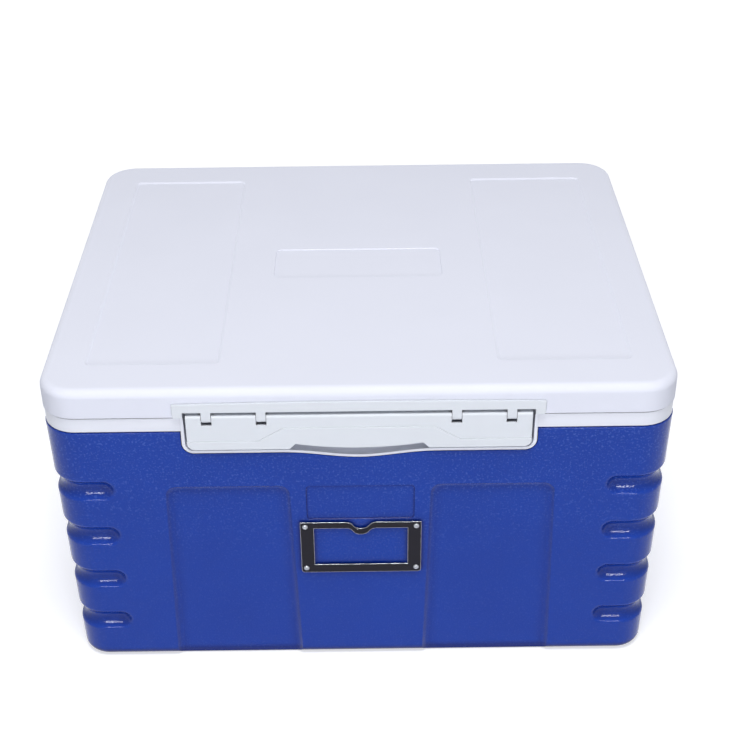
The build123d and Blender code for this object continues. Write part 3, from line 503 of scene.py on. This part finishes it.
# %% [markdown]
# ## Cross recess
# The recess for the driver is pressed into the head. Two crossed blades that narrow downwards have its shape,
# and an exact Boolean cuts them from the head, with clean flat walls. It is done once for each size of screw,
# and only the mesh is kept, with no modifier left on it.

# %% Cross recess
ROUND_STEPS = 40
RECESS_REACH = 0.60          # of the head's radius
RECESS_DEPTH = 0.65          # of the head's height
RECESS_BLADE = 0.15          # half thickness of a blade, of the head's radius
RECESS_TAPER = 0.6           # size of the recess at its bottom, of that at its top
RECESS_OVER = 1.1            # how high the blades reach, of the head's height, to cut it cleanly


def recess_cutter(head, height):
    """Two crossed blades that narrow towards the bottom of the recess."""
    bm = bmesh.new()
    levels = ((height * (1 - RECESS_DEPTH), RECESS_TAPER), (height * RECESS_OVER, 1.0))
    for turn in (0, 90):
        spin = Matrix.Rotation(math.radians(turn), 3, "Z")
        rings = []
        for level, share in levels:
            reach, half = RECESS_REACH * head * share, RECESS_BLADE * head * share
            corners = ((-reach, -half), (reach, -half), (reach, half), (-reach, half))
            rings.append([bm.verts.new(spin @ Vector((x, y, level))) for x, y in corners])
        join_rings(bm, rings)
        for ring in rings:
            bm.faces.new(ring)
    bmesh.ops.recalc_face_normals(bm, faces=bm.faces)
    return bm


def carved(mesh, cutter):
    """The mesh less the cutter, worked out once by an exact Boolean."""
    things = [bpy.data.objects.new(m.name, m) for m in (mesh, cutter)]
    for thing in things:
        bpy.context.scene.collection.objects.link(thing)
    cut = things[0].modifiers.new("recess", "BOOLEAN")
    cut.operation, cut.object, cut.solver, cut.use_self = "DIFFERENCE", things[1], "EXACT", True
    result = bpy.data.meshes.new_from_object(things[0].evaluated_get(bpy.context.evaluated_depsgraph_get()))
    for thing in things:
        bpy.data.objects.remove(thing)
    return result


def cross_screw(head, height, shank, length):
    """Mesh of one screw of that size, its head's seat at the origin."""
    solid = to_mesh(turned(screw_outline(head, height, shank, length), ROUND_STEPS), "screw")
    return carved(solid, to_mesh(recess_cutter(head, height), "recess"))


blades = recess_cutter(3 * MM, 2 * MM)
print("the recess is cut with", len(blades.faces), "faces")
blades.free()

# %% [markdown]
# ## Where each screw stands
# The engineering screws already stand in their holes. Typing their places again would be a second copy that
# could go wrong, so each finer screw takes its size, place and direction from the one it replaces: a node's
# mesh is parted into its solids, and each solid is measured along its own axis.

# %% Measures of the engineering screws
WELD = 1e-6                  # vertices nearer than this, in metres, are one
RIM_SHARE = 0.98             # of the widest radius: what lies outside it is the head's rim


def loose_parts(mesh):
    """The vertex places of each separate solid of a mesh."""
    bm = bmesh.new()
    bm.from_mesh(mesh)
    bmesh.ops.remove_doubles(bm, verts=bm.verts, dist=WELD)
    bm.verts.index_update()
    left, parts = set(bm.verts), []
    for start in list(bm.verts):
        if start not in left:
            continue
        left.discard(start)
        found = [start]
        for vert in found:
            near = {other for edge in vert.link_edges for other in edge.verts} & left
            left -= near
            found.extend(sorted(near, key=lambda v: v.index))
        parts.append([vert.co.copy() for vert in found])
    bm.free()
    return parts


def screw_measures(points):
    """Where a screw's head sits, the way that it points, and its sizes, from its vertices.

    The only vertex on the axis is the point, and it is the one that is farthest from the middle of them all.
    """
    middle = sum(points, Vector()) / len(points)
    tip = max(points, key=lambda p: (p - middle).length)
    out = (middle - tip).normalized()
    along = [(p - tip).dot(out) for p in points]
    across = [(p - tip - t * out).length for p, t in zip(points, along)]
    head = max(across)
    length = min(t for t, r in zip(along, across) if r > RIM_SHARE * head)
    shank = max(r for t, r in zip(along, across) if t < length / 2)
    return tip + length * out, out, (head, max(along) - length, shank, length)


print(len(loose_parts(nodes["label_frame_screws"].data)), "screws hold the card frame")

# %% [markdown]
# ## Screws in their holes
# Screws are driven until they are tight, so their recesses stop at any angle. Each one here is turned a fixed
# step on from the last, which looks as random and is the same on every run. All the screws of a node are one
# mesh that rides on the node's body.

# %% Screws
SHARP_ANGLE = 35             # degrees between two faces, above which their edge is shaded as sharp
SCREW_TURN = 37.0            # degrees from one screw's recess to the next
SCREWS = {
    "label_frame_screws": "chest",
    "handle_cup_screws_right": "chest",
    "handle_cup_screws_left": "chest",
    "hinge_body_screws": "chest",
    "hinge_lid_screws": "lid",
    "latch_strip_screws": "lid",
}


def add_piece(mesh, material, body, replaced):
    """An object for that mesh, with its finish, that stands for a node."""
    piece = bpy.data.objects.new(mesh.name, mesh)
    bpy.context.scene.collection.objects.link(piece)
    mesh.materials.append(material)
    mesh.shade_smooth()
    mesh.set_sharp_from_angle(angle=math.radians(SHARP_ANGLE))
    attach(piece, body)
    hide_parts(replaced)
    return piece


def fine_screws(node_name, body):
    """Replaces a node of screws by finer ones in the same places."""
    whole = bmesh.new()
    made = {}
    for i, points in enumerate(sorted(loose_parts(nodes[node_name].data), key=lambda p: tuple(p[0]))):
        place, out, sizes = screw_measures(points)
        sizes = tuple(round(v, 5) for v in sizes)
        if sizes not in made:
            made[sizes] = cross_screw(*sizes)
        turn = Matrix.Rotation(math.radians(SCREW_TURN * i), 4, "Z")
        upright = out.to_track_quat("Z", "Y").to_matrix().to_4x4()
        one = made[sizes].copy()
        one.transform(Matrix.Translation(place) @ (upright @ turn))
        whole.from_mesh(one)
    add_piece(to_mesh(whole, node_name + "_fine"), steel, body, node_name)
    return i + 1, sizes


for name, body in SCREWS.items():
    count, sizes = fine_screws(name, body)
    print(name, count, "screws, head and shank", [round(v / MM, 2) for v in sizes])

# %% [markdown]
# ## Ribbed grips
# The grips are black rubber sleeves on the bars of the swing handles. Real ones have fine rings round them so
# that a wet hand holds them. A sleeve is one closed form: rings of vertices go along the outside, round the
# ends and back through the bore, which has the outline of the bar that fills it.

# %% Bore of a grip
GRIP_STEPS = 72
BORE_SHARE = 0.72            # vertices within this share of the grip's radius belong to its bore


def bore_outline(mesh, middle, angles):
    """The grip's radius, and that of its bore at each angle, from the vertices of its mesh."""
    places = [(v.co.x - middle.x, v.co.z - middle.z) for v in mesh.vertices]
    reach = max(math.hypot(x, z) for x, z in places)
    inner = sorted((math.atan2(z, x), math.hypot(x, z)) for x, z in places
                   if math.hypot(x, z) < BORE_SHARE * reach)
    round_turn = 2 * math.pi
    inner = [(inner[-1][0] - round_turn, inner[-1][1])] + inner + [(inner[0][0] + round_turn, inner[0][1])]
    found = []
    for angle in angles:
        for (a, r), (b, q) in zip(inner, inner[1:]):
            if a <= angle <= b and b > a:
                # a straight run between two vertices, in polar form
                found.append(r * q * math.sin(b - a) / (r * math.sin(angle - a) + q * math.sin(b - angle)))
                break
    return reach, found


def grip_middle(name):
    """Middle of a grip's box, and half its length."""
    low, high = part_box(name)
    return (Vector(low) + Vector(high)) / 2, (high[1] - low[1]) / 2


print("a grip is", round(2 * grip_middle("handle_grip_left")[1] / MM, 1), "mm long")

# %% [markdown]
# ## Rings of a grip
# The rings are grooves with a rounded bottom, pressed into the sleeve between two smooth collars. They are
# real geometry and not a bump, because they show in the sleeve's outline when a handle swings out.

# %% Grips
RIB_PITCH = 3.0 * MM
RIB_DEPTH = 0.7 * MM
RIB_PROFILE = ((0.12, 0.0), (0.3, 1.0), (0.5, 1.15), (0.7, 1.0), (0.88, 0.0))   # shares of pitch and depth
GRIP_PLAIN_END = 5.0 * MM    # smooth collar at each end
GRIP_ROUND = 2.0 * MM
GRIP_ROUND_STEPS = 7


def grip_outline(half, radius):
    """The (place, radius) pairs along a sleeve's outside, and how many grooves it has."""
    end = []
    for i in reversed(range(GRIP_ROUND_STEPS)):
        turn = math.radians(90 * i / (GRIP_ROUND_STEPS - 1))
        end.append((-half + GRIP_ROUND * (1 - math.sin(turn)), radius - GRIP_ROUND * (1 - math.cos(turn))))
    ribs = int(2 * (half - GRIP_PLAIN_END) / RIB_PITCH)
    first = -ribs * RIB_PITCH / 2
    grooves = [(first + (i + share) * RIB_PITCH, radius - depth * RIB_DEPTH)
               for i in range(ribs) for share, depth in RIB_PROFILE]
    return end + grooves + [(-y, r) for y, r in reversed(end)], ribs


def fine_grip(side):
    """A ribbed sleeve in the place of one grip."""
    name = f"handle_grip_{side}"
    middle, half = grip_middle(name)
    angles = [-math.pi + 2 * math.pi * (i + 0.5) / GRIP_STEPS for i in range(GRIP_STEPS)]
    radius, bore = bore_outline(nodes[name].data, middle, angles)
    outside, ribs = grip_outline(half, radius)
    bm = bmesh.new()
    rings = []
    for y, radii in [(y, [r] * GRIP_STEPS) for y, r in outside] + [(half, bore), (-half, bore)]:
        rings.append([bm.verts.new(middle + Vector((r * math.cos(a), y, r * math.sin(a))))
                      for a, r in zip(angles, radii)])
    join_rings(bm, rings + rings[:1])
    add_piece(to_mesh(bm, f"{name}_ribbed"), grip_black, f"handle_{side}", name)
    return ribs


for side in ("left", "right"):
    print(side, "grip with", fine_grip(side), "rings")

# %% [markdown]
# ## Floor and surround
# The carrier stands on a pale floor in an even white surround. More light would turn the floor white, but it
# would also bleach the carrier. Instead the floor adds light of its own to what is seen of it, so that it
# reads as white and still keeps the carrier's shadow. That glow grows with the distance from the carrier,
# where the lamps' light runs out.

# %% Floor and surround
FLOOR_HALF = 6.0
FLOOR_COLOUR = "#CDCFD4"
FLOOR_ROUGH = 0.8
FLOOR_GLOW = 0.57
FLOOR_NEAR, FLOOR_FAR = 0.9, 2.6   # the glow grows from FLOOR_GLOW to 1 between these distances, in metres
SURROUND_LIGHT = 0.21
SURROUND_SHOWN = 1.0


def seen_directly(tree, strength):
    """That strength for what the camera, mirrors and glass see, and nothing for the light on things."""
    path = add(tree, "ShaderNodeLightPath")
    seen = path.outputs["Is Camera Ray"]
    for kind in ("Is Glossy Ray", "Is Transmission Ray"):
        either = add(tree, "ShaderNodeMath", {"operation": "MAXIMUM"}, _0=seen, _1=path.outputs[kind])
        seen = either.outputs[0]
    return add(tree, "ShaderNodeMath", {"operation": "MULTIPLY"}, _0=seen, _1=strength).outputs[0]


def add_floor():
    """A square floor at z = 0, with a painted, dull face."""
    mesh = bpy.data.meshes.new("floor")
    corners = [(x * FLOOR_HALF, y * FLOOR_HALF, 0.0) for x, y in ((-1, -1), (1, -1), (1, 1), (-1, 1))]
    mesh.from_pydata(corners, [], [(0, 1, 2, 3)])
    floor = bpy.data.objects.new("floor", mesh)
    bpy.context.scene.collection.objects.link(floor)
    material, tree, shader, place = new_material("pale studio floor")
    shader.inputs["Base Color"].default_value = srgb(FLOOR_COLOUR)
    shader.inputs["Roughness"].default_value = FLOOR_ROUGH
    shader.inputs["Emission Color"].default_value = (1, 1, 1, 1)
    away = add(tree, "ShaderNodeVectorMath", {"operation": "LENGTH"}, _0=place).outputs["Value"]
    glow = add(tree, "ShaderNodeMapRange", _0=away, _1=FLOOR_NEAR, _2=FLOOR_FAR, _3=FLOOR_GLOW, _4=1.0)
    tree.links.new(seen_directly(tree, glow.outputs[0]), shader.inputs["Emission Strength"])
    mesh.materials.append(material)
    return floor


def add_surround(light, shown):
    """A white world: light is what it sheds, and shown is what the camera sees of it."""
    world = bpy.data.worlds.new("studio surround")
    world.use_nodes = True
    bpy.context.scene.world = world
    tree = world.node_tree
    tree.nodes.clear()
    extra = add(tree, "ShaderNodeMath", {"operation": "ADD"}, _0=seen_directly(tree, shown - light), _1=light)
    glow = add(tree, "ShaderNodeBackground", Color=(1, 1, 1, 1), Strength=extra.outputs[0])
    add(tree, "ShaderNodeOutputWorld", Surface=glow.outputs[0])


bpy.context.scene.view_settings.view_transform = "Standard"
floor = add_floor()
add_surround(SURROUND_LIGHT, SURROUND_SHOWN)
print("floor", round(floor.dimensions.x, 2), "m wide, surround light", SURROUND_LIGHT)

# %% [markdown]
# ## Lamps
# Soft studio light shows a moulding best, because hard light would bury its shallow panels in highlights. One
# large lamp above lights the lid. Two small low ones in front draw a streak along each corner groove, the
# right one a little stronger, and two large ones behind light the ends and the back.

# %% Lamps
LAMP_TARGET = (0, 0, 0.2)
LAMPS = {                    # place in metres, side of the square in metres, and watts
    "key lamp": ((0.0, -0.9, 2.8), 0.8, 46.0),
    "front left lamp": ((-0.7, -2.75, 0.78), 0.35, 14.0),
    "back left lamp": ((-2.2, 2.2, 1.0), 1.4, 14.0),
    "front right lamp": ((0.7, -2.75, 0.78), 0.35, 15.4),
    "back right lamp": ((2.2, 2.2, 1.0), 1.4, 14.0),
}


def add_lamp(name, place, size, watts):
    """A square, white, soft lamp that faces the carrier."""
    data = bpy.data.lights.new(name, "AREA")
    data.shape = "SQUARE"
    data.size = size
    data.energy = watts
    lamp = bpy.data.objects.new(name, data)
    bpy.context.scene.collection.objects.link(lamp)
    lamp.location = place
    lamp.rotation_mode = "QUATERNION"
    lamp.rotation_quaternion = (Vector(LAMP_TARGET) - Vector(place)).to_track_quat("-Z", "Y")
    return lamp


for name, (place, size, watts) in LAMPS.items():
    print(add_lamp(name, place, size, watts).name, watts, "W")
